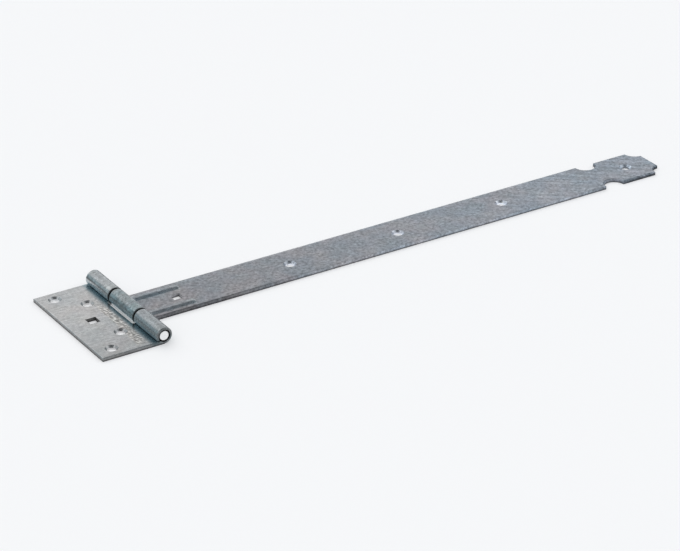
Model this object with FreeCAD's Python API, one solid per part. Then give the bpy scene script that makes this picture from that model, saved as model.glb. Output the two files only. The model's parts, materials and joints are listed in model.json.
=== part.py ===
"""A tee hinge of sheet steel: a cross leaf and a long strap, each rolled round one pin.

The hinge lies flat, as it is screwed on. X runs along the strap, Y along the pin,
and Z away from the wall. Z = 0 is the back of both leaves, and the pin is above X = 0.
"""
import FreeCAD, Part
import math
import os

os.makedirs("parts", exist_ok=True)

# Driving sizes in millimetres
SHEET = 3.0                # steel of both leaves
EDGE_ROLL = 0.9            # round that blanking leaves along the front edges
ROLL_THINNING = 0.4        # lost from the sheet where it is stretched round the pin

PIN_RADIUS = 4.0           # running part of the pin
PIN_PLAY = 0.06            # between the pin and the knuckle that turns on it
PIN_GRIP = 12.0            # swelled length at each end that holds the pin in the cross leaf
PIN_RECESS = 0.3           # pin's end face inside the end of the barrel
PIN_CHAMFER = 0.45

ROLL_GAP = 0.3             # left open between the rolled end and the leaf under it
KNUCKLE_EDGE = 0.45        # bevel of the knuckles' outer corners
KNUCKLE_GAP = 1.9          # between neighbouring knuckles, along the pin
WINDOW_CLEARANCE = 1.0     # between the middle knuckle and the cross leaf's window
WINDOW_CORNER = 1.5

LEAF_LENGTH = 112.0        # cross leaf, along the pin
LEAF_REACH = 52.0          # from the pin's axis to the cross leaf's free edge

STRAP_LENGTH = 500.0       # from the pin's axis to the strap's tip
STRAP_WIDTH = 42.0
SHOULDER_STEP = 2.4        # how much narrower, on each side, the strap's knuckle is
SHOULDER_CLEARANCE = 1.6   # between the strap's shoulders and the turning circle of the barrel
SHOULDER_CORNER = 1.0

PLATE_LENGTH = 43.0        # square plate of the finial
NECK_NOTCH = 9.0           # radius of the two notches that make the neck
CORNER_NOTCH = 9.5         # radius of the two notches in the tip's corners

HOLE_DIAMETER = 7.0        # screw holes
SINK_DIAMETER = 10.4       # their countersinks, cut at 90 degrees
SQUARE_HOLE = 8.5          # for the neck of a coach bolt

LEAF_OUTER_HOLES_X = 13.0  # from the cross leaf's free edge
LEAF_OUTER_HOLES_Y = 91.0  # apart, along the pin
LEAF_INNER_HOLES_X = 31.0
LEAF_INNER_HOLES_Y = 53.0
LEAF_SQUARE_X = 21.5

STRAP_SQUARE_X = 42.0      # from the pin's axis
STRAP_FIRST_HOLE_X = 144.0
STRAP_HOLE_PITCH = 101.5
STRAP_HOLE_COUNT = 3
TIP_HOLE_INSET = 25.0      # from the strap's tip

BEAD_INSET = 7.6           # from the strap's edge to the middle of each stiffening bead
BEAD_HEIGHT = 1.45
BEAD_RADIUS = 4.3          # of the bead's crown and of its foot, on the front
BEAD_START = 7.4           # from the pin's axis
BEAD_END = 52.0

# Sizes worked out from them
BORE_RADIUS = PIN_RADIUS + PIN_PLAY
KNUCKLE_RADIUS = BORE_RADIUS + SHEET - ROLL_THINNING
AXIS_HEIGHT = KNUCKLE_RADIUS
MIDDLE_KNUCKLE = STRAP_WIDTH - 2 * SHOULDER_STEP
WINDOW_LENGTH = MIDDLE_KNUCKLE + 2 * KNUCKLE_GAP
WINDOW_EDGE_X = KNUCKLE_RADIUS + WINDOW_CLEARANCE
SHOULDER_X = KNUCKLE_RADIUS + SHOULDER_CLEARANCE
ROLL_TURN = 360 - math.degrees(math.acos((AXIS_HEIGHT - SHEET - ROLL_GAP) / KNUCKLE_RADIUS))
OVER = 1.0                 # how far a cutting tool stands out of the sheet


def point(x, y, z):
    return FreeCAD.Vector(x, y, z)


def line(start, end):
    return Part.LineSegment(start, end).toShape()


def arc(start, middle, end):
    return Part.Arc(start, middle, end).toShape()


def face_of(edges):
    return Part.Face(Part.Wire(edges))


def polygon(corners):
    return face_of([line(start, end) for start, end in zip(corners, corners[1:] + corners[:1])])


def edges_where(shape, test):
    """Edges whose two ends and middle all pass the test."""
    chosen = []
    for edge in shape.Edges:
        middle = edge.valueAt((edge.FirstParameter + edge.LastParameter) / 2)
        ends = [vertex.Point for vertex in edge.Vertexes]
        if all(test(place) for place in ends + [middle]):
            chosen.append(edge)
    return chosen


def near(value, target):
    return abs(value - target) < 1e-4


# Rolled knuckles

def on_roll(side, radius, turn, y):
    """A point of the roll, so many degrees after it leaves the flat at the bottom of the barrel."""
    angle = math.radians(turn)
    return point(-side * radius * math.sin(angle), y, AXIS_HEIGHT - radius * math.cos(angle))


def rolled_sheet(flat, side, width):
    """A flat that lies towards side * X of the pin, with its end rolled round the pin.

    The roll leaves the flat at the bottom of the barrel, goes up the far side,
    over the top and down again, until its end stands just above the flat.
    It is thinner than the flat, so the bore reaches a little way into the flat's front.
    """
    start_y = -width / 2

    def bend(radius, from_turn, to_turn):
        return arc(on_roll(side, radius, from_turn, start_y),
                   on_roll(side, radius, (from_turn + to_turn) / 2, start_y),
                   on_roll(side, radius, to_turn, start_y))

    def across(turn, from_radius, to_radius):
        return line(on_roll(side, from_radius, turn, start_y), on_roll(side, to_radius, turn, start_y))

    section = face_of([
        bend(KNUCKLE_RADIUS, 0, ROLL_TURN),
        across(ROLL_TURN, KNUCKLE_RADIUS, BORE_RADIUS),
        bend(BORE_RADIUS, ROLL_TURN, 0),
        across(0, BORE_RADIUS, KNUCKLE_RADIUS),
    ])
    roll = section.extrude(point(0, width, 0))
    bore = Part.makeCylinder(BORE_RADIUS, width + 2 * OVER, point(0, start_y - OVER, AXIS_HEIGHT),
                             point(0, 1, 0))
    return flat.fuse(roll).cut(bore).removeSplitter()


def outer_bevel(side, end_y, facing):
    """What bevels the outer corner of a knuckle that ends at Y = end_y and faces facing * Y there."""
    inner_y = end_y - facing * KNUCKLE_EDGE
    outer_y = end_y + facing * OVER
    section = polygon([
        on_roll(side, KNUCKLE_RADIUS, 0, inner_y),
        on_roll(side, KNUCKLE_RADIUS - KNUCKLE_EDGE, 0, end_y),
        on_roll(side, KNUCKLE_RADIUS - KNUCKLE_EDGE, 0, outer_y),
        on_roll(side, KNUCKLE_RADIUS + OVER, 0, outer_y),
        on_roll(side, KNUCKLE_RADIUS + OVER, 0, inner_y),
    ])
    return section.revolve(point(0, 0, AXIS_HEIGHT), point(0, side, 0), ROLL_TURN)


def mouth_round(side, end_y, facing):
    """What rounds the mouth of a bore that ends at Y = end_y and opens towards facing * Y."""
    mouth_radius = BORE_RADIUS + EDGE_ROLL
    inner_y = end_y - facing * EDGE_ROLL
    outer_y = end_y + facing * OVER
    lean = EDGE_ROLL * math.sqrt(0.5)
    section = face_of([
        arc(on_roll(side, BORE_RADIUS, 0, inner_y),
            on_roll(side, mouth_radius - lean, 0, inner_y + facing * lean),
            on_roll(side, mouth_radius, 0, end_y)),
        line(on_roll(side, mouth_radius, 0, end_y), on_roll(side, mouth_radius, 0, outer_y)),
        line(on_roll(side, mouth_radius, 0, outer_y), on_roll(side, PIN_RADIUS / 2, 0, outer_y)),
        line(on_roll(side, PIN_RADIUS / 2, 0, outer_y), on_roll(side, PIN_RADIUS / 2, 0, inner_y)),
        line(on_roll(side, PIN_RADIUS / 2, 0, inner_y), on_roll(side, BORE_RADIUS, 0, inner_y)),
    ])
    return section.revolve(point(0, 0, AXIS_HEIGHT), point(0, side, 0), 360)


# Holes

def screw_hole(x, y):
    """A round hole, countersunk from the front."""
    drill = Part.makeCylinder(HOLE_DIAMETER / 2, SHEET + 2 * OVER, point(x, y, -OVER))
    depth = (SINK_DIAMETER - HOLE_DIAMETER) / 2
    sink = Part.makeCone(HOLE_DIAMETER / 2, SINK_DIAMETER / 2 + OVER, depth + OVER,
                         point(x, y, SHEET - depth))
    return drill.fuse(sink)


def square_hole(x, y):
    corner = point(x - SQUARE_HOLE / 2, y - SQUARE_HOLE / 2, -OVER)
    return Part.makeBox(SQUARE_HOLE, SQUARE_HOLE, SHEET + 2 * OVER, corner)


# Stiffening beads

def bead_section(y, radius_change, base):
    """Half of a bead's section at Y = y: crown and foot arcs over a flat base, on the +Y side.

    The crown and foot arcs of the front and of the back share their centres, so the
    pressed steel keeps its thickness. The front has radius_change 0, the back SHEET.
    """
    crown_radius = BEAD_RADIUS - radius_change
    foot_radius = BEAD_RADIUS + radius_change
    slope = math.acos(1 - BEAD_HEIGHT / (2 * BEAD_RADIUS))
    crown_z = SHEET + BEAD_HEIGHT - BEAD_RADIUS
    foot_y = 2 * BEAD_RADIUS * math.sin(slope)
    foot_z = SHEET + BEAD_RADIUS

    def on_crown(angle):
        return point(0, y + crown_radius * math.sin(angle), crown_z + crown_radius * math.cos(angle))

    def on_foot(angle):
        return point(0, y + foot_y - foot_radius * math.sin(angle), foot_z - foot_radius * math.cos(angle))

    return face_of([
        line(point(0, y, base), on_crown(0)),
        arc(on_crown(0), on_crown(slope / 2), on_crown(slope)),
        arc(on_foot(slope), on_foot(slope / 2), on_foot(0)),
        line(on_foot(0), point(0, y + foot_y, base)),
        line(point(0, y + foot_y, base), point(0, y, base)),
    ])


def bead_solid(y, radius_change, base):
    """A straight bead with domed ends, as deep as its base."""
    half_width = 2 * BEAD_RADIUS * math.sin(math.acos(1 - BEAD_HEIGHT / (2 * BEAD_RADIUS)))
    start_x = BEAD_START + half_width
    end_x = BEAD_END - half_width
    half = bead_section(y, radius_change, base)
    half.translate(point(start_x, 0, 0))
    run = half.extrude(point(end_x - start_x, 0, 0))
    mirrored = run.mirror(point(0, y, 0), point(0, 1, 0))
    start_dome = half.revolve(point(start_x, y, 0), point(0, 0, 1), 180)
    far_half = half.copy()
    far_half.translate(point(end_x - start_x, 0, 0))
    end_dome = far_half.revolve(point(end_x, y, 0), point(0, 0, 1), -180)
    return run.fuse([mirrored, start_dome, end_dome]).removeSplitter()


# The cross leaf, screwed to the post

def make_cross_leaf():
    flat = Part.makeBox(LEAF_REACH, LEAF_LENGTH, SHEET, point(-LEAF_REACH, -LEAF_LENGTH / 2, 0))
    rolled_edges = edges_where(flat, lambda p: near(p.z, SHEET) and (
        near(p.x, -LEAF_REACH) or near(abs(p.y), LEAF_LENGTH / 2)))
    leaf = rolled_sheet(flat.makeFillet(EDGE_ROLL, rolled_edges), -1, LEAF_LENGTH)

    window = Part.makeBox(WINDOW_EDGE_X + KNUCKLE_RADIUS + OVER, WINDOW_LENGTH,
                          2 * KNUCKLE_RADIUS + 2 * OVER,
                          point(-WINDOW_EDGE_X, -WINDOW_LENGTH / 2, -OVER))
    corners = edges_where(window, lambda p: near(p.x, -WINDOW_EDGE_X) and near(abs(p.y), WINDOW_LENGTH / 2))
    leaf = leaf.cut(window.makeFillet(WINDOW_CORNER, corners))

    outer_x = LEAF_OUTER_HOLES_X - LEAF_REACH
    inner_x = LEAF_INNER_HOLES_X - LEAF_REACH
    holes = [square_hole(LEAF_SQUARE_X - LEAF_REACH, 0)]
    corners = []
    for end in (-1, 1):
        holes.append(screw_hole(outer_x, end * LEAF_OUTER_HOLES_Y / 2))
        holes.append(screw_hole(inner_x, end * LEAF_INNER_HOLES_Y / 2))
        corners.append(outer_bevel(-1, end * LEAF_LENGTH / 2, end))
        corners.append(outer_bevel(-1, end * WINDOW_LENGTH / 2, -end))
        corners.append(mouth_round(-1, end * LEAF_LENGTH / 2, end))
    return leaf.cut(holes + corners)


# The strap, screwed to the door or gate

def strap_outline():
    """The strap's flat, from its shoulders to the notched finial."""
    half = STRAP_WIDTH / 2
    plate_x = STRAP_LENGTH - PLATE_LENGTH
    neck_x = plate_x - NECK_NOTCH
    notch_x = neck_x - NECK_NOTCH
    corner_x = STRAP_LENGTH - CORNER_NOTCH
    corner_y = half - CORNER_NOTCH
    lean = CORNER_NOTCH * math.sqrt(0.5)

    def edge_run(side):
        """The edges of one side, from the shoulder to the tip."""
        return [
            line(point(SHOULDER_X, side * half, 0), point(notch_x, side * half, 0)),
            arc(point(notch_x, side * half, 0), point(neck_x, side * (half - NECK_NOTCH), 0),
                point(plate_x, side * half, 0)),
            line(point(plate_x, side * half, 0), point(corner_x, side * half, 0)),
            arc(point(corner_x, side * half, 0),
                point(STRAP_LENGTH - lean, side * (half - lean), 0),
                point(STRAP_LENGTH, side * corner_y, 0)),
        ]

    tip = line(point(STRAP_LENGTH, -corner_y, 0), point(STRAP_LENGTH, corner_y, 0))
    root = line(point(SHOULDER_X, half, 0), point(SHOULDER_X, -half, 0))
    return face_of(edge_run(-1) + [tip] + edge_run(1)[::-1] + [root])


def make_strap_leaf():
    root = Part.makeBox(SHOULDER_X, MIDDLE_KNUCKLE, SHEET, point(0, -MIDDLE_KNUCKLE / 2, 0))
    flat = root.fuse(strap_outline().extrude(point(0, 0, SHEET))).removeSplitter()
    corners = edges_where(flat, lambda p: near(p.x, SHOULDER_X) and near(abs(p.y), MIDDLE_KNUCKLE / 2))
    flat = flat.makeFillet(SHOULDER_CORNER, corners)
    rolled_edges = edges_where(flat, lambda p: near(p.z, SHEET) and p.x > SHOULDER_X + SHEET / 10)
    strap = rolled_sheet(flat.makeFillet(EDGE_ROLL, rolled_edges), 1, MIDDLE_KNUCKLE)

    holes = [square_hole(STRAP_SQUARE_X, 0), screw_hole(STRAP_LENGTH - TIP_HOLE_INSET, 0)]
    for end in (-1, 1):
        bead_y = end * (STRAP_WIDTH / 2 - BEAD_INSET)
        strap = strap.fuse(bead_solid(bead_y, 0, SHEET / 2))
        strap = strap.cut(bead_solid(bead_y, SHEET, -OVER))
        holes.append(outer_bevel(1, end * MIDDLE_KNUCKLE / 2, end))
    for index in range(STRAP_HOLE_COUNT):
        holes.append(screw_hole(STRAP_FIRST_HOLE_X + index * STRAP_HOLE_PITCH, 0))
    return strap.cut(holes).removeSplitter()


# The pin, gripped by the outer knuckles

def make_hinge_pin():
    half = LEAF_LENGTH / 2 - PIN_RECESS
    grip_y = half - PIN_GRIP

    def at(radius, y):
        return point(radius, y, 0)

    corners = [
        at(0, -half), at(BORE_RADIUS - PIN_CHAMFER, -half), at(BORE_RADIUS, PIN_CHAMFER - half),
        at(BORE_RADIUS, -grip_y), at(PIN_RADIUS, PIN_PLAY - grip_y),
        at(PIN_RADIUS, grip_y - PIN_PLAY), at(BORE_RADIUS, grip_y),
        at(BORE_RADIUS, half - PIN_CHAMFER), at(BORE_RADIUS - PIN_CHAMFER, half), at(0, half),
    ]
    pin = polygon(corners).revolve(point(0, 0, 0), point(0, 1, 0), 360)
    pin.translate(point(0, 0, AXIS_HEIGHT))
    return pin


for name, shape in (
    ("cross_leaf", make_cross_leaf()),
    ("strap_leaf", make_strap_leaf()),
    ("hinge_pin", make_hinge_pin()),
):
    solid = shape.Solids[0]
    print(name, "valid", shape.isValid(), "solids", len(shape.Solids), "volume", round(shape.Volume, 1))
    solid.exportStep("parts/" + name + ".step")
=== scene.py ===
import json
import math

import bpy
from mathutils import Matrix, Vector


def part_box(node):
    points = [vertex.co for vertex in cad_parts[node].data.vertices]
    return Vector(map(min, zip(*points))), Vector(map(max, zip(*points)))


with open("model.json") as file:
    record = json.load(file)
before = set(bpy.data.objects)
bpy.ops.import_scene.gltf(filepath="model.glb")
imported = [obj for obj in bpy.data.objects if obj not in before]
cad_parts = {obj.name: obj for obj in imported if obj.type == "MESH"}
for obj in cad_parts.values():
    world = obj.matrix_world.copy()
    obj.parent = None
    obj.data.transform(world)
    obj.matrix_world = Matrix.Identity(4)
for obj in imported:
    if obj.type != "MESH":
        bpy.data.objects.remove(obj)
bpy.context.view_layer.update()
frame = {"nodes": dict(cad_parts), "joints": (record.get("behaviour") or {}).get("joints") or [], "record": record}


# The camera. It looks down along the hinge from beside the cross leaf, through a long lens, so
# the strap runs away to the upper right and hardly narrows.
CAMERA_AZIMUTH = -32.58             # degrees
CAMERA_ELEVATION = 27.36
CAMERA_DISTANCE = 2.1779            # metres
CAMERA_TARGET = Vector((0.16938, -0.03315, 0.0))
SENSOR_WIDTH = 36.0                 # millimetres
LENS = 147.96

azimuth = math.radians(CAMERA_AZIMUTH)
elevation = math.radians(CAMERA_ELEVATION)
towards_camera = Vector((math.sin(azimuth) * math.cos(elevation),
                         -math.cos(azimuth) * math.cos(elevation),
                         math.sin(elevation)))
camera = bpy.data.objects.new("camera", bpy.data.cameras.new("camera"))
bpy.context.scene.collection.objects.link(camera)
camera.data.sensor_width = SENSOR_WIDTH
camera.data.lens = LENS
camera.location = CAMERA_TARGET + towards_camera * CAMERA_DISTANCE
camera.rotation_mode = "QUATERNION"
camera.rotation_quaternion = (-towards_camera).to_track_quat("-Z", "Y")
bpy.context.scene.camera = camera


# The floor is a light table: a sheet of white acrylic that glows faintly, so the holes show white
# and the flat steel throws hardly any shadow. It is wide enough to lie behind the hinge from any
# side. In the steel's reflections only the lit panel under the hinge shows.
TABLE_SIZE = 24.0                   # metres
TABLE_WHITE = "#F6F6F7"
TABLE_SHADE = 0.70                  # share of the lamp's and the room's light that it throws back
TABLE_GLOW = 0.244                  # its own light, as the camera sees it
PANEL_GLOW = 1.05                   # and the panel's, as the steel shows it
PANEL_MIDDLE_X = 0.15               # the panel is an ellipse, in metres
PANEL_REACH_X = 0.30
PANEL_REACH_Y = 0.11
PANEL_FADE = 0.15                   # share of its reach over which it fades, to each side
PANEL_OUTSIDE = 0.10                # share of its light left beyond it


def colour(code):
    """An sRGB hex value as linear red, green, blue and alpha."""
    shares = [int(code[place:place + 2], 16) / 255 for place in (1, 3, 5)]
    linear = [share / 12.92 if share <= 0.04045 else ((share + 0.055) / 1.055) ** 2.4
              for share in shares]
    return (*linear, 1.0)


def add_node(tree, kind, inputs=None, **settings):
    """Adds a shader node. An input is a constant, another node, or one output of another node.

    Of a node, the first output in use is linked.
    """
    node = tree.nodes.new("ShaderNode" + kind)
    for setting, value in settings.items():
        setattr(node, setting, value)
    for socket, value in (inputs or {}).items():
        if isinstance(value, bpy.types.Node):
            value = next(output for output in value.outputs if output.enabled)
        if isinstance(value, bpy.types.NodeSocket):
            tree.links.new(value, node.inputs[socket])
        else:
            node.inputs[socket].default_value = value
    return node


bpy.ops.object.select_all(action="DESELECT")
bpy.ops.mesh.primitive_plane_add(size=TABLE_SIZE)
table = bpy.context.object
table.name = "light_table"
acrylic = bpy.data.materials.new("white_acrylic")
acrylic.use_nodes = True
tree = acrylic.node_tree
tree.nodes.clear()
spot = add_node(tree, "TexCoord").outputs["Object"]
spot = add_node(tree, "Mapping", {
    "Vector": spot, "Location": (-PANEL_MIDDLE_X / PANEL_REACH_X, 0, 0),
    "Scale": (1 / PANEL_REACH_X, 1 / PANEL_REACH_Y, 1)})
away = add_node(tree, "VectorMath", {0: spot}, operation="LENGTH")
lit = add_node(tree, "MapRange", {
    0: away, 1: 1 + PANEL_FADE, 2: 1 - PANEL_FADE, 3: PANEL_OUTSIDE * PANEL_GLOW, 4: PANEL_GLOW},
    interpolation_type="SMOOTHSTEP")
panel = add_node(tree, "Emission", {"Color": colour(TABLE_WHITE), "Strength": lit})
glow = add_node(tree, "Emission", {"Color": colour(TABLE_WHITE), "Strength": TABLE_GLOW})
matt = add_node(tree, "BsdfDiffuse", {
    "Color": tuple(TABLE_SHADE * share for share in colour(TABLE_WHITE)[:3]) + (1.0,)})
sheet = add_node(tree, "AddShader", {0: glow, 1: matt})
seen = add_node(tree, "LightPath").outputs["Is Camera Ray"]
both = add_node(tree, "MixShader", {"Fac": seen, 1: panel, 2: sheet})
add_node(tree, "OutputMaterial", {"Surface": both})
table.data.materials.append(acrylic)


# The room is what plated steel shows: its flats take their tone from a wide pale screen behind the
# hinge, and its slopes from the dusk between the screens and from dark screens over the camera and
# beyond the strap. A very wide soft lamp lights the table only, so the hinge throws a little shadow.
LAMP_FROM = Vector((0.18, 0.22, 0.95))      # points towards the lamp
LAMP_ANGLE = 110.0                  # its width in the sky, in degrees
LAMP_STRENGTH = 1.75
ROOM_BY_HEIGHT = (                  # sine of the height above the horizon, and the room's tone there
    (-0.02, "#E9EBEF"),
    (0.00, "#33444B"),
    (0.10, "#56666D"),
    (0.25, "#7D8A90"),
    (0.45, "#8A9397"),
    (0.80, "#A4A7A9"),
    (0.90, "#B4B7B9"),
    (1.00, "#F0F2F4"),
)
SCREENS = (
    # compass angle from +Y, height, half width, half height and fade, all in degrees, and the tone
    (5.0, 33.0, 43.0, 20.0, 11.0, "#E2E2E2"),        # behind the hinge, and wide
    (341.0, 36.0, 19.0, 12.0, 14.0, "#FFFFFF"),      # its bright left part, as the camera sees it
    (322.0, 13.0, 17.0, 13.0, 12.0, "#B4C3C8"),      # low down on its left
    (30.0, 5.0, 14.0, 13.0, 10.0, "#F2F4F6"),        # low down on its right
    (255.0, 36.0, 46.0, 26.0, 20.0, "#E2E5E7"),      # beside the cross leaf
    (192.0, 30.0, 34.0, 24.0, 14.0, "#D8DADC"),      # round the camera
    (90.0, 24.0, 24.0, 14.0, 14.0, "#BFC3C6"),       # beyond the strap's tip
    (208.0, 60.0, 52.0, 12.0, 12.0, "#2A2E31"),      # over the camera
    (80.0, 56.0, 32.0, 12.0, 18.0, "#68747A"),       # high up beyond the tip
    (117.0, 26.0, 24.0, 20.0, 12.0, "#F4F6F7"),      # beyond the tip, on the camera's side
    (75.0, 6.0, 14.0, 9.0, 12.0, "#22292D"),         # low down beyond the tip
)

lamp = bpy.data.objects.new("lamp", bpy.data.lights.new("lamp", "SUN"))
bpy.context.scene.collection.objects.link(lamp)
lamp.data.energy = LAMP_STRENGTH
lamp.data.angle = math.radians(LAMP_ANGLE)
lamp.visible_glossy = False
lamp.rotation_mode = "QUATERNION"
lamp.rotation_quaternion = LAMP_FROM.to_track_quat("Z", "Y")

room = bpy.data.worlds.new("room")
bpy.context.scene.world = room
room.use_nodes = True
tree = room.node_tree
tree.nodes.clear()
direction = add_node(tree, "TexCoord").outputs["Generated"]
sine = add_node(tree, "SeparateXYZ", {0: direction}).outputs["Z"]
share = add_node(tree, "MapRange", {0: sine, 1: -1.0, 2: 1.0})
ramp = add_node(tree, "ValToRGB", {"Fac": share})
stops = ramp.color_ramp.elements
while len(stops) < len(ROOM_BY_HEIGHT):
    stops.new(0.5)
for stop, (stop_sine, tone) in zip(stops, ROOM_BY_HEIGHT):
    stop.position = (stop_sine + 1) / 2
    stop.color = colour(tone)
light = ramp
height = add_node(tree, "Math", {0: sine}, operation="ARCSINE")
for compass, middle, half_width, half_height, fade, tone in SCREENS:
    turned = add_node(tree, "VectorRotate", {
        "Vector": direction, "Angle": math.radians(compass)}, rotation_type="Z_AXIS")
    turned = add_node(tree, "SeparateXYZ", {0: turned}).outputs
    across = add_node(tree, "Math", {0: turned["X"], 1: turned["Y"]}, operation="ARCTAN2")
    up = add_node(tree, "Math", {0: height, 1: math.radians(middle)}, operation="SUBTRACT")
    cover = 1.0
    for turn, half in ((across, half_width), (up, half_height)):
        off = add_node(tree, "Math", {0: turn}, operation="ABSOLUTE")
        inside = add_node(tree, "MapRange", {
            0: off, 1: math.radians(half + fade / 2), 2: math.radians(half - fade / 2)},
            interpolation_type="SMOOTHSTEP")
        cover = add_node(tree, "Math", {0: inside, 1: cover}, operation="MULTIPLY")
    light = add_node(tree, "Mix", {"Factor": cover, 6: light, 7: colour(tone)}, data_type="RGBA")
background = add_node(tree, "Background", {"Color": light, "Strength": 1.0})
add_node(tree, "OutputWorld", {"Surface": background})
bpy.context.scene.view_settings.view_transform = "Standard"


# The cross leaf is one blank of 3 mm rolled steel sheet: punched, two of its three strips rolled
# into knuckles, and then zinc plated. The plating is a satin grey that shows the rolling grain, and
# a tool has pressed a band of small strokes in beside the knuckles.
MM = 0.001                          # in metres; the sizes in the materials are in millimetres
SHEET = 3.0
PIN_HEIGHT = frame["joints"][0]["pos_m"][2] / MM     # of the pin's axis, above the leaves' backs
KNUCKLE_RADIUS = PIN_HEIGHT                          # the barrel touches the plane of the backs
LEAF_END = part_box("cross_leaf")[1].y / MM
STRAP_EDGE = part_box("strap_leaf")[1].y / MM          # the gaps between the knuckles end just within it
MOUNTS = {mount["name"]: mount for mount in frame["record"]["mounts"]}
SQUARE_HOLE = 8.5
SINK_RADIUS = 5.2                   # of the countersinks, at the sheet's face
TOUCH = 0.05                        # a mark meant for one face may reach this far past it

NOISE_LOW = 0.3                     # few values of a noise lie beyond these two
NOISE_HIGH = 0.7
CLOUD = 30.0                        # the plating's tone drifts over this length
CLOUD_RANGE = (0.38, 0.62)          # values of the noise where it is cool, and where it is warm
HUE_PATCH = 13.0                    # its hue drifts over this length
GRAIN_WIDTH = 1.3                   # about 0.1 mm in life; it is drawn as coarse as it needs to show
GRAIN_LENGTH = 11.0
GRAIN_HEIGHT = 0.012
CRYSTAL = 2.4                       # the crystals are finer in life too
CRYSTAL_HEIGHT = 0.022
CRYSTAL_GLOSS = 0.04                # how much rougher or smoother one is
ROLL_GRAIN = 1.5
ROLL_RANGE = (0.35, 0.65)           # values of the noise where the roll is darkest, and lightest
ROLL_MOTTLE = 0.23
ROLL_FADE = (0.5, 0.2)              # outside the knuckle's radius: there the roll's look ends
CORNER_SHADE_TINT = "#C8DBE2"             # painted shade and reflection, times the plating's colour, in the corner of sheet and roll
CORNER_X = KNUCKLE_RADIUS + 0.6     # of the dark strip's middle
CORNER_REACH = (5.4, 1.2)           # from that middle: there the strip begins, and is darkest


def across_pin(tree, place):
    """The place in the section across the pin, and how far it is from the pin's axis."""
    section = add_node(tree, "VectorMath", {0: place, 1: (1, 0, 1)}, operation="MULTIPLY")
    from_pin = add_node(tree, "VectorMath", {0: section, 1: (0, 0, PIN_HEIGHT)}, operation="DISTANCE")
    return section, from_pin


def stained(tree, tint, where, stain):
    """The tint, times the stain's colour where the mask called where is one."""
    stain = add_node(tree, "Mix", {"Factor": where, 6: (1, 1, 1, 1), 7: stain}, data_type="RGBA")
    return add_node(tree, "VectorMath", {0: tint, 1: stain}, operation="MULTIPLY")


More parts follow.
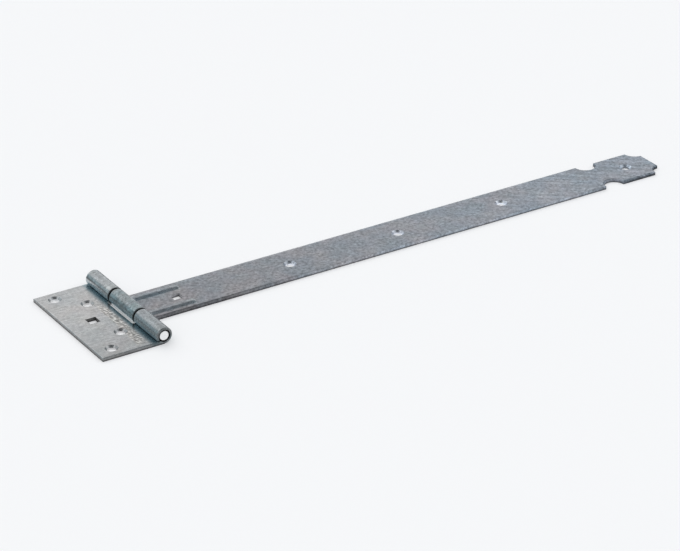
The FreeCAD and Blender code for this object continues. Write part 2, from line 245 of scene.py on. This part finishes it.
def zinc_plate(name, zinc, cool, rolled, roughness, grain, mottle, patches):
    """Zinc plating on rolled sheet.

    It follows the rolling grain, which runs along X and round the knuckles. Its crystals
    mottle it, most where the roll has opened them, and its thin passivated skin tints it. In
    the corner between sheet and roll it is darkened and blued by painted shade and a painted
    reflection of the knuckle.
    Returns the material, its tree, the place in millimetres, the facing, and the tint,
    roughness and relief, so that a piece can add its own marks.
    """
    material = bpy.data.materials.new(name)
    material.use_nodes = True
    tree = material.node_tree
    tree.nodes.clear()
    coordinates = add_node(tree, "TexCoord")
    place = add_node(tree, "VectorMath", {
        0: coordinates.outputs["Object"], "Scale": 1 / MM}, operation="SCALE")
    facing = add_node(tree, "SeparateXYZ", {0: coordinates.outputs["Normal"]}).outputs

    clouds = add_node(tree, "TexNoise", {
        "Vector": place, "Scale": 1 / CLOUD, "Detail": 2.0, "Roughness": 0.6})
    clouds = add_node(tree, "MapRange", {0: clouds, 1: CLOUD_RANGE[0], 2: CLOUD_RANGE[1]})
    tint = add_node(tree, "Mix", {
        "Factor": clouds, 6: colour(cool), 7: colour(zinc)}, data_type="RGBA")
    hue = add_node(tree, "TexNoise", {
        "Vector": place, "Scale": 1 / HUE_PATCH, "Detail": 2.0, "Roughness": 0.6})
    hue = add_node(tree, "VectorMath", {
        0: hue.outputs["Color"], 1: (patches,) * 3, 2: (1 - patches / 2,) * 3}, operation="MULTIPLY_ADD")
    tint = add_node(tree, "VectorMath", {0: tint, 1: hue}, operation="MULTIPLY")

    along = add_node(tree, "Mapping", {
        "Vector": place, "Scale": (1 / GRAIN_LENGTH, 1 / GRAIN_WIDTH, 1 / GRAIN_LENGTH)})
    lines = add_node(tree, "TexNoise", {
        "Vector": along, "Scale": 1.0, "Detail": 3.0, "Roughness": 0.65})
    crystals = add_node(tree, "TexNoise", {
        "Vector": place, "Scale": 1 / CRYSTAL, "Detail": 3.0, "Roughness": 0.7})
    streaks = add_node(tree, "MapRange", {
        0: lines, 1: NOISE_LOW, 2: NOISE_HIGH, 3: 1 - grain, 4: 1 + grain})
    spots = add_node(tree, "MapRange", {
        0: crystals, 1: NOISE_LOW, 2: NOISE_HIGH, 3: 1 - mottle, 4: 1 + mottle})
    shade = add_node(tree, "Math", {0: streaks, 1: spots}, operation="MULTIPLY")
    tint = add_node(tree, "VectorMath", {0: tint, "Scale": shade}, operation="SCALE")

    section, from_pin = across_pin(tree, place)
    on_roll = add_node(tree, "MapRange", {
        0: from_pin, 1: KNUCKLE_RADIUS + ROLL_FADE[0], 2: KNUCKLE_RADIUS + ROLL_FADE[1]})
    coarse = add_node(tree, "TexNoise", {
        "Vector": place, "Scale": 1 / ROLL_GRAIN, "Detail": 3.0, "Roughness": 0.75})
    coarse = add_node(tree, "MapRange", {
        0: coarse, 1: ROLL_RANGE[0], 2: ROLL_RANGE[1], 3: 1 - ROLL_MOTTLE, 4: 1 + ROLL_MOTTLE})
    opened = add_node(tree, "VectorMath", {0: rolled, "Scale": coarse}, operation="SCALE")
    tint = stained(tree, tint, on_roll, opened)

    aside = add_node(tree, "VectorMath", {0: section}, operation="ABSOLUTE")
    from_corner = add_node(tree, "VectorMath", {0: aside, 1: (CORNER_X, 0, SHEET)}, operation="DISTANCE")
    # painted shade and painted reflection of the knuckle, darkening and blueing the corner of sheet and roll
    corner_shade = add_node(tree, "MapRange", {
        0: from_corner, 1: CORNER_REACH[0], 2: CORNER_REACH[1]}, interpolation_type="SMOOTHSTEP")
    tint = stained(tree, tint, corner_shade, colour(CORNER_SHADE_TINT))

    gloss = add_node(tree, "MapRange", {
        0: crystals, 1: NOISE_LOW, 2: NOISE_HIGH,
        3: roughness + CRYSTAL_GLOSS, 4: roughness - CRYSTAL_GLOSS})
    ridges = add_node(tree, "Math", {0: lines, 1: GRAIN_HEIGHT}, operation="MULTIPLY")
    relief = add_node(tree, "Math", {
        0: crystals, 1: CRYSTAL_HEIGHT, 2: ridges}, operation="MULTIPLY_ADD")
    return material, tree, place, facing, tint, gloss, relief


WALL_RISE = (0.30, 0.45)            # Z part of a face's normal: a sheared wall's is below these
SLOPE_RISE = 0.85                   # and a countersink's is below this
END_FACING = (0.55, 0.75)           # its Y part: that of a knuckle's end is above these
SINK_REACH = SINK_RADIUS + 0.6      # from the middle of a hole; all of its countersink is nearer
TEAR_WIDTH = 0.9                    # the tears are finer in life too
TEAR_HEIGHT = 1.6
TEAR_CONTRAST = 0.2
TEAR_DEPTH = 0.10
EDGE_ROUGHNESS = 0.6
FOOT = (0.4, 1.6)                   # heights over which the darker torn foot and its painted shade fade out
FOOT_TONE_AND_SHADE = 0.25
GAP_FADE = (0.35, 0.55)             # outside the knuckle's radius: there the gaps' painted shade ends
MOUTH_RADIUS = (4.9, 5.1)           # from the pin's axis: there the painted shade round its end stops
MOUTH_DEPTH = 6.0                   # from the ends of the barrel


def sheared_edges(tree, place, facing, tint, gloss, relief,
                  screw_holes, edge_shade, gap_painted_shade, sink_highlight):
    """Adds what the press leaves: rough, dull edges, darkest at the torn foot, with painted shade.

    The knuckles' ends are such edges too. Between the knuckles, and round the pin's end
    in the bore, the steel is painted nearly black, as painted shade. The screw holes are
    drilled and countersunk, and painted bright, as painted highlight.
    """
    at = add_node(tree, "SeparateXYZ", {0: place}).outputs
    rise = add_node(tree, "Math", {0: facing["Z"]}, operation="ABSOLUTE")
    upright = add_node(tree, "MapRange", {0: rise, 1: WALL_RISE[0], 2: WALL_RISE[1], 3: 1.0, 4: 0.0})
    low = add_node(tree, "Math", {0: at["Z"], 1: SHEET + TOUCH}, operation="LESS_THAN")
    sheared = add_node(tree, "Math", {0: upright, 1: low}, operation="MULTIPLY")
    sideways = add_node(tree, "Math", {0: facing["Y"]}, operation="ABSOLUTE")
    end = add_node(tree, "MapRange", {0: sideways, 1: END_FACING[0], 2: END_FACING[1]})
    sheared = add_node(tree, "Math", {0: sheared, 1: end}, operation="MAXIMUM")

    drilled = 0.0
    for hole_x, hole_y in screw_holes:
        from_hole = add_node(tree, "VectorMath", {
            0: place, 1: (hole_x, hole_y, SHEET / 2)}, operation="DISTANCE")
        near = add_node(tree, "Math", {0: from_hole, 1: SINK_REACH}, operation="LESS_THAN")
        drilled = add_node(tree, "Math", {0: near, 1: drilled}, operation="MAXIMUM")
    sloping = add_node(tree, "Math", {0: facing["Z"], 1: SLOPE_RISE}, operation="LESS_THAN")
    drilled = add_node(tree, "Math", {0: drilled, 1: sloping}, operation="MULTIPLY")
    sheared = add_node(tree, "Math", {0: sheared, 1: drilled}, operation="SUBTRACT", use_clamp=True)

    tears = add_node(tree, "Mapping", {
        "Vector": place, "Scale": (1 / TEAR_WIDTH, 1 / TEAR_WIDTH, 1 / TEAR_HEIGHT)})
    tears = add_node(tree, "TexNoise", {
        "Vector": tears, "Scale": 1.0, "Detail": 4.0, "Roughness": 0.7})
    torn = add_node(tree, "MapRange", {
        0: tears, 1: NOISE_LOW, 2: NOISE_HIGH,
        3: (1 - TEAR_CONTRAST) * edge_shade, 4: (1 + TEAR_CONTRAST) * edge_shade})
    # the torn foot is darker, and also carries painted shade where the edge meets the table
    torn_foot_and_shade = add_node(tree, "MapRange", {0: at["Z"], 1: FOOT[0], 2: FOOT[1], 3: FOOT_TONE_AND_SHADE, 4: 1.0})
    shade = add_node(tree, "Math", {0: torn, 1: torn_foot_and_shade}, operation="MULTIPLY")

    from_pin = across_pin(tree, place)[1]
    away = add_node(tree, "Math", {0: at["Y"]}, operation="ABSOLUTE")
    inner = add_node(tree, "Math", {0: away, 1: STRAP_EDGE}, operation="LESS_THAN")
    by_pin = add_node(tree, "MapRange", {
        0: from_pin, 1: KNUCKLE_RADIUS + GAP_FADE[0], 2: KNUCKLE_RADIUS + GAP_FADE[1], 3: 1.0, 4: 0.0})
    between = add_node(tree, "Math", {0: inner, 1: by_pin}, operation="MULTIPLY")
    between = add_node(tree, "Math", {0: between, 1: end}, operation="MULTIPLY")
    mouth = add_node(tree, "MapRange", {
        0: from_pin, 1: MOUTH_RADIUS[0], 2: MOUTH_RADIUS[1], 3: 1.0, 4: 0.0})
    outer = add_node(tree, "Math", {0: away, 1: LEAF_END - MOUTH_DEPTH}, operation="GREATER_THAN")
    mouth = add_node(tree, "Math", {0: mouth, 1: outer}, operation="MULTIPLY")
    # painted shade, nearly black, between the knuckles and round the pin's end
    painted_gap_shade = add_node(tree, "Math", {0: between, 1: mouth}, operation="MAXIMUM")

    shade = add_node(tree, "Mix", {"Factor": painted_gap_shade, 2: shade, 3: gap_painted_shade})
    sheared = add_node(tree, "Math", {0: sheared, 1: painted_gap_shade}, operation="MAXIMUM")
    shade = add_node(tree, "Mix", {"Factor": sheared, 2: 1.0, 3: shade})
    # the countersinks are painted brighter, as painted highlight
    painted_sink_highlight = add_node(tree, "MapRange", {0: drilled, 3: 1.0, 4: sink_highlight})
    shade = add_node(tree, "Math", {0: shade, 1: painted_sink_highlight}, operation="MULTIPLY")
    tint = add_node(tree, "VectorMath", {0: tint, "Scale": shade}, operation="SCALE")
    gloss = add_node(tree, "Mix", {"Factor": sheared, 2: gloss, 3: EDGE_ROUGHNESS})
    rough = add_node(tree, "Math", {0: tears, 1: TEAR_DEPTH}, operation="MULTIPLY")
    relief = add_node(tree, "Mix", {"Factor": sheared, 2: relief, 3: rough})
    return tint, gloss, relief


def plated_steel(material, tree, tint, gloss, relief):
    """Closes a material of plated steel. The relief is in millimetres."""
    bump = add_node(tree, "Bump", {"Height": relief, "Strength": 1.0, "Distance": MM})
    shader = add_node(tree, "BsdfPrincipled", {
        "Base Color": tint, "Roughness": gloss, "Metallic": 1.0, "Normal": bump})
    add_node(tree, "OutputMaterial", {"Surface": shader})
    return material


LEAF_ZINC = "#CBCACA"
LEAF_ZINC_COOL = "#C3C6C8"
LEAF_ROLLED = (0.76, 0.81, 0.83)    # times the plating's colour, on the roll
LEAF_TONES = (0.87, 1.03)           # the near end is duller than the rest
LEAF_TONES_Y = (-60.0, 15.0)        # where along the pin the two tones are
STROKE_BAND = (-17.8, -12.2)        # where the strokes lie along X
BAND_FADE = 0.7
BAND_SPREAD = 3.0                   # how much wider the band is at its near end
BAND_SPREAD_Y = (-55.0, 0.0)
BAND_NEAR_Y = (-54.0, -48.0)        # it begins between these
BAND_FAR_Y = (36.0, 6.0)            # and dies away between these
WAVER = 2.5                         # its limits waver by up to this much
WAVER_LENGTH = 9.0
FACE_RISE = 0.9                     # Z part of the flat face's normal: above this
STROKE_WIDTH = 1.25                 # the strokes are drawn about twice as coarse as real
STROKE_LENGTH = 3.6
STROKE_TURN = 61.0                  # degrees from X, clockwise as seen from above
STROKE_RANGE = (0.40, 0.64)         # values of the noise beside a stroke, and on it
STROKE_TONES = (0.62, 1.62)         # of the steel there
STROKE_BRIGHT = "#FFFBF6"
STROKE_DEPTH = 0.05
SQUARE_PAINTED_SHADE = 0.35                 # painted shade inside the square hole
SQUARE_FADE = 0.3

leaf_screws = []
for name in ("leaf_outer_screws", "leaf_inner_screws"):
    half_pitch = MOUNTS[name]["dims"]["spacing_y_mm"] / 2
    leaf_screws += [(MOUNTS[name]["pos_m"][0] / MM, end * half_pitch) for end in (-1, 1)]

cross_leaf = frame["nodes"]["cross_leaf"]
leaf_zinc, tree, place, facing, tint, gloss, relief = zinc_plate(
    "zinc_plated_leaf_sheet", LEAF_ZINC, LEAF_ZINC_COOL, LEAF_ROLLED,
    roughness=0.27, grain=0.16, mottle=0.18, patches=0.04)
at = add_node(tree, "SeparateXYZ", {0: place}).outputs

dull = add_node(tree, "MapRange", {
    0: at["Y"], 1: LEAF_TONES_Y[0], 2: LEAF_TONES_Y[1], 3: LEAF_TONES[0], 4: LEAF_TONES[1]},
    interpolation_type="SMOOTHSTEP")
tint = add_node(tree, "VectorMath", {0: tint, "Scale": dull}, operation="SCALE")

waver = add_node(tree, "TexNoise", {"Vector": place, "Scale": 1 / WAVER_LENGTH, "Detail": 1.0})
waver = add_node(tree, "MapRange", {0: waver, 3: -WAVER, 4: WAVER})
band_x = add_node(tree, "Math", {0: at["X"], 1: waver}, operation="ADD")
spread = add_node(tree, "MapRange", {
    0: at["Y"], 1: BAND_SPREAD_Y[0], 2: BAND_SPREAD_Y[1], 3: -BAND_SPREAD, 4: 0.0})
left = add_node(tree, "Math", {0: band_x, 1: spread}, operation="SUBTRACT")
left = add_node(tree, "MapRange", {
    0: left, 1: STROKE_BAND[0] - BAND_FADE, 2: STROKE_BAND[0] + BAND_FADE})
right = add_node(tree, "MapRange", {
    0: band_x, 1: STROKE_BAND[1] + BAND_FADE, 2: STROKE_BAND[1] - BAND_FADE})
far = add_node(tree, "MapRange", {0: at["Y"], 1: BAND_FAR_Y[0], 2: BAND_FAR_Y[1]})
near = add_node(tree, "MapRange", {0: at["Y"], 1: BAND_NEAR_Y[0], 2: BAND_NEAR_Y[1]})
band = add_node(tree, "Math", {0: facing["Z"], 1: FACE_RISE}, operation="GREATER_THAN")
for limit in (left, right, far, near):
    band = add_node(tree, "Math", {0: band, 1: limit}, operation="MULTIPLY")

turned = add_node(tree, "VectorRotate", {
    "Vector": place, "Angle": math.radians(STROKE_TURN)}, rotation_type="Z_AXIS")
turned = add_node(tree, "Mapping", {
    "Vector": turned, "Scale": (1 / STROKE_LENGTH, 1 / STROKE_WIDTH, 1.0)})
strokes = add_node(tree, "TexNoise", {
    "Vector": turned, "Scale": 1.0, "Detail": 1.0, "Roughness": 0.5})
strokes = add_node(tree, "MapRange", {
    0: strokes, 1: STROKE_RANGE[0], 2: STROKE_RANGE[1]}, interpolation_type="SMOOTHSTEP")
pressed = add_node(tree, "Math", {0: strokes, 1: band}, operation="MULTIPLY")
worn = add_node(tree, "MapRange", {0: strokes, 3: STROKE_TONES[0], 4: STROKE_TONES[1]})
bright = add_node(tree, "VectorMath", {0: colour(STROKE_BRIGHT)[:3], "Scale": worn}, operation="SCALE")
tint = stained(tree, tint, band, bright)
pit = add_node(tree, "Math", {0: pressed, 1: STROKE_DEPTH}, operation="MULTIPLY")
relief = add_node(tree, "Math", {0: relief, 1: pit}, operation="SUBTRACT")

tint, gloss, relief = sheared_edges(
    tree, place, facing, tint, gloss, relief, leaf_screws,
    edge_shade=0.57, gap_painted_shade=0.05, sink_highlight=1.05)
square_middle = (MOUNTS["leaf_coach_bolt"]["pos_m"][0] / MM, 0, 0)
from_square = add_node(tree, "VectorMath", {0: place, 1: square_middle}, operation="SUBTRACT")
from_square = add_node(tree, "VectorMath", {0: from_square}, operation="ABSOLUTE")
from_square = add_node(tree, "SeparateXYZ", {0: from_square}).outputs
from_square = add_node(tree, "Math", {0: from_square["X"], 1: from_square["Y"]}, operation="MAXIMUM")
# painted shade on the walls inside the square hole
inside = add_node(tree, "MapRange", {
    0: from_square, 1: SQUARE_HOLE / 2 + TOUCH, 2: SQUARE_HOLE / 2 + SQUARE_FADE, 3: SQUARE_PAINTED_SHADE, 4: 1.0})
tint = add_node(tree, "VectorMath", {0: tint, "Scale": inside}, operation="SCALE")
cross_leaf.data.materials.clear()
cross_leaf.data.materials.append(plated_steel(leaf_zinc, tree, tint, gloss, relief))


# The strap is a blank of the same sheet: punched and notched, its two beads pressed in, its end
# rolled into the middle knuckle, and then plated. The plating is darker and coarser than the
# leaf's, and grows lighter and bluer towards the tip. The countersinks carry a painted highlight.
STRAP_ZINC = "#A09FA3"
STRAP_ZINC_COOL = "#949AA1"
STRAP_ROLLED = (1.03, 1.11, 1.07)     # times the plating's colour, on the roll
ROOT_END = 60.0                       # just past the beads; from here on the root's look changes
TIP_TINT = (1.16, 1.24, 1.31)         # times the root's colour
TIP_TINT_X = 480.0                    # there the change is complete
BRUSH_TURN = 38.0                     # of the faint brush marks, in degrees from X, clockwise
BRUSH_WIDTH = 3.6                     # they are finer in life, and drawn coarse enough to show
BRUSH_LENGTH = 60.0
BRUSH_RANGE = (0.4, 0.6)              # values of the noise where they are darkest, and lightest
BRUSH_TONE = 0.15                     # how much darker and lighter that is, near the tip
BRUSH_ROOT = 0.25                     # share of it that the root side shows
BRUSH_X = (300.0, 420.0)              # between these it grows to the whole
DROOP_WIDTH = 2.5                     # strip that the press drew down along each long edge
DROOP = 0.08                          # its depth one millimetre in, near the root
DROOP_TIP = 0.2                       # share of it from DROOP_X on
DROOP_X = 200.0
BEAD_Y = STRAP_EDGE - 7.6             # of the middle of each bead
BEAD_REACH = 4.4                      # from there to its foot
BEAD_END = 51.0
BEAD_FADE = 0.6
BEAD_SHEEN = (1.00, 1.07, 1.08)        # painted sheen over the beads, lighter and greener
DOME_HIGHLIGHT = (1.13, 1.22, 1.21)        # painted highlight on the beads' domed ends
DOME_LENGTH = 6.0
ROOT_EDGE_SHADOW = 0.40                      # tone of the painted shadow along the near edge, at the root
RUN_WIDTH = 1.8
RUN_END = 170.0

outer_screws = MOUNTS["strap_outer_screws"]
strap_screws = [(outer_screws["pos_m"][0] / MM + end * outer_screws["dims"]["spacing_x_mm"] / 2, 0.0)
                for end in (-1, 1)]
strap_screws += [(MOUNTS[name]["pos_m"][0] / MM, 0.0) for name in ("strap_middle_screw", "tip_screw")]

strap_leaf = frame["nodes"]["strap_leaf"]
strap_zinc, tree, place, facing, tint, gloss, relief = zinc_plate(
    "zinc_plated_strap_sheet", STRAP_ZINC, STRAP_ZINC_COOL, STRAP_ROLLED,
    roughness=0.29, grain=0.07, mottle=0.40, patches=0.06)
at = add_node(tree, "SeparateXYZ", {0: place}).outputs

towards_tip = add_node(tree, "MapRange", {0: at["X"], 1: ROOT_END, 2: TIP_TINT_X})
tint = stained(tree, tint, towards_tip, (*TIP_TINT, 1))

turned = add_node(tree, "VectorRotate", {
    "Vector": place, "Angle": math.radians(BRUSH_TURN)}, rotation_type="Z_AXIS")
turned = add_node(tree, "Mapping", {
    "Vector": turned, "Scale": (1 / BRUSH_LENGTH, 1 / BRUSH_WIDTH, 1 / BRUSH_LENGTH)})
brushed = add_node(tree, "TexNoise", {"Vector": turned, "Scale": 1.0, "Detail": 2.0})
brushed = add_node(tree, "MapRange", {
    0: brushed, 1: BRUSH_RANGE[0], 2: BRUSH_RANGE[1], 3: -BRUSH_TONE, 4: BRUSH_TONE})
strength = add_node(tree, "MapRange", {0: at["X"], 1: BRUSH_X[0], 2: BRUSH_X[1], 3: BRUSH_ROOT, 4: 1.0})
brushed = add_node(tree, "Math", {0: brushed, 1: strength, 2: 1.0}, operation="MULTIPLY_ADD")
tint = add_node(tree, "VectorMath", {0: tint, "Scale": brushed}, operation="SCALE")

from_middle = add_node(tree, "Math", {0: at["Y"]}, operation="ABSOLUTE")
from_bead = add_node(tree, "Math", {0: from_middle, 1: BEAD_Y}, operation="SUBTRACT")
from_bead = add_node(tree, "Math", {0: from_bead}, operation="ABSOLUTE")
on_bead = add_node(tree, "MapRange", {0: from_bead, 1: BEAD_REACH + BEAD_FADE, 2: BEAD_REACH - BEAD_FADE})
up_to = add_node(tree, "MapRange", {0: at["X"], 1: BEAD_END + BEAD_FADE, 2: BEAD_END - BEAD_FADE})
on_bead = add_node(tree, "Math", {0: on_bead, 1: up_to}, operation="MULTIPLY")
on_dome = add_node(tree, "MapRange", {
    0: at["X"], 1: BEAD_END - DOME_LENGTH, 2: BEAD_END - DOME_LENGTH / 2})
# painted sheen on the beads, and a painted highlight on their domed ends
bead_highlight = add_node(tree, "Mix", {
    "Factor": on_dome, 6: (*BEAD_SHEEN, 1), 7: (*DOME_HIGHLIGHT, 1)}, data_type="RGBA")
tint = stained(tree, tint, on_bead, bead_highlight)

droop = add_node(tree, "Math", {0: from_middle, 1: STRAP_EDGE - DROOP_WIDTH}, operation="SUBTRACT")
droop = add_node(tree, "Math", {0: droop, 1: 0.0}, operation="MAXIMUM")
droop = add_node(tree, "Math", {0: droop, 1: 2.0}, operation="POWER")
depth = add_node(tree, "MapRange", {0: at["X"], 1: ROOT_END, 2: DROOP_X, 3: DROOP, 4: DROOP_TIP * DROOP})
droop = add_node(tree, "Math", {0: droop, 1: depth}, operation="MULTIPLY")
relief = add_node(tree, "Math", {0: relief, 1: droop}, operation="SUBTRACT")

tint, gloss, relief = sheared_edges(
    tree, place, facing, tint, gloss, relief, strap_screws,
    edge_shade=1.2, gap_painted_shade=0.07, sink_highlight=2.0)
# painted shadow along the near edge at the root, fading out towards RUN_END
by_edge = add_node(tree, "MapRange", {0: at["Y"], 1: RUN_WIDTH - STRAP_EDGE, 2: -STRAP_EDGE})
root_edge_shadow = add_node(tree, "MapRange", {0: at["X"], 1: ROOT_END, 2: RUN_END, 3: ROOT_EDGE_SHADOW, 4: 1.0})
root_edge_shadow = add_node(tree, "Mix", {"Factor": by_edge, 2: 1.0, 3: root_edge_shadow})
tint = add_node(tree, "VectorMath", {0: tint, "Scale": root_edge_shadow}, operation="SCALE")
strap_leaf.data.materials.clear()
strap_leaf.data.materials.append(plated_steel(strap_zinc, tree, tint, gloss, relief))


# The pin is a length of bright drawn rod, cropped, plated and pressed in. Its ends show as flat
# faces with the faint marks of the crop. Inside the barrel it is painted dark, as painted shade.
PIN_ZINC = "#EFF1F2"
PIN_SHAFT_SHADE = "#2B2A28"
PIN_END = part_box("hinge_pin")[1].y / MM
PIN_FACE = (0.25, 0.1)              # in from the pin's end: there the end's look begins, and is full
SCUFF_LENGTH = 1.3                  # the marks are finer in life, and drawn coarse enough to show
SCUFF_WIDTH = 0.7
SCUFF_TONES = (0.86, 1.04)
SCUFF_ROUGHNESS = (0.34, 0.24)
SCUFF_DEPTH = 0.01

hinge_pin = frame["nodes"]["hinge_pin"]
pin_zinc = bpy.data.materials.new("zinc_plated_pin_rod")
pin_zinc.use_nodes = True
tree = pin_zinc.node_tree
tree.nodes.clear()
place = add_node(tree, "TexCoord").outputs["Object"]
place = add_node(tree, "VectorMath", {0: place, "Scale": 1 / MM}, operation="SCALE")
at = add_node(tree, "SeparateXYZ", {0: place}).outputs
away = add_node(tree, "Math", {0: at["Y"]}, operation="ABSOLUTE")
face = add_node(tree, "MapRange", {0: away, 1: PIN_END - PIN_FACE[0], 2: PIN_END - PIN_FACE[1]})
scuffs = add_node(tree, "Mapping", {
    "Vector": place, "Scale": (1 / SCUFF_LENGTH, 1 / SCUFF_LENGTH, 1 / SCUFF_WIDTH)})
scuffs = add_node(tree, "TexNoise", {"Vector": scuffs, "Scale": 1.0, "Detail": 3.0, "Roughness": 0.7})
# the shaft, seen only in the gaps between the knuckles, is painted dark as painted shade
tint = add_node(tree, "Mix", {"Factor": face, 6: colour(PIN_SHAFT_SHADE), 7: colour(PIN_ZINC)}, data_type="RGBA")
shade = add_node(tree, "MapRange", {
    0: scuffs, 1: NOISE_LOW, 2: NOISE_HIGH, 3: SCUFF_TONES[0], 4: SCUFF_TONES[1]})
tint = add_node(tree, "VectorMath", {0: tint, "Scale": shade}, operation="SCALE")
gloss = add_node(tree, "MapRange", {
    0: scuffs, 1: NOISE_LOW, 2: NOISE_HIGH, 3: SCUFF_ROUGHNESS[0], 4: SCUFF_ROUGHNESS[1]})
relief = add_node(tree, "Math", {0: scuffs, 1: SCUFF_DEPTH}, operation="MULTIPLY")
hinge_pin.data.materials.clear()
hinge_pin.data.materials.append(plated_steel(pin_zinc, tree, tint, gloss, relief))
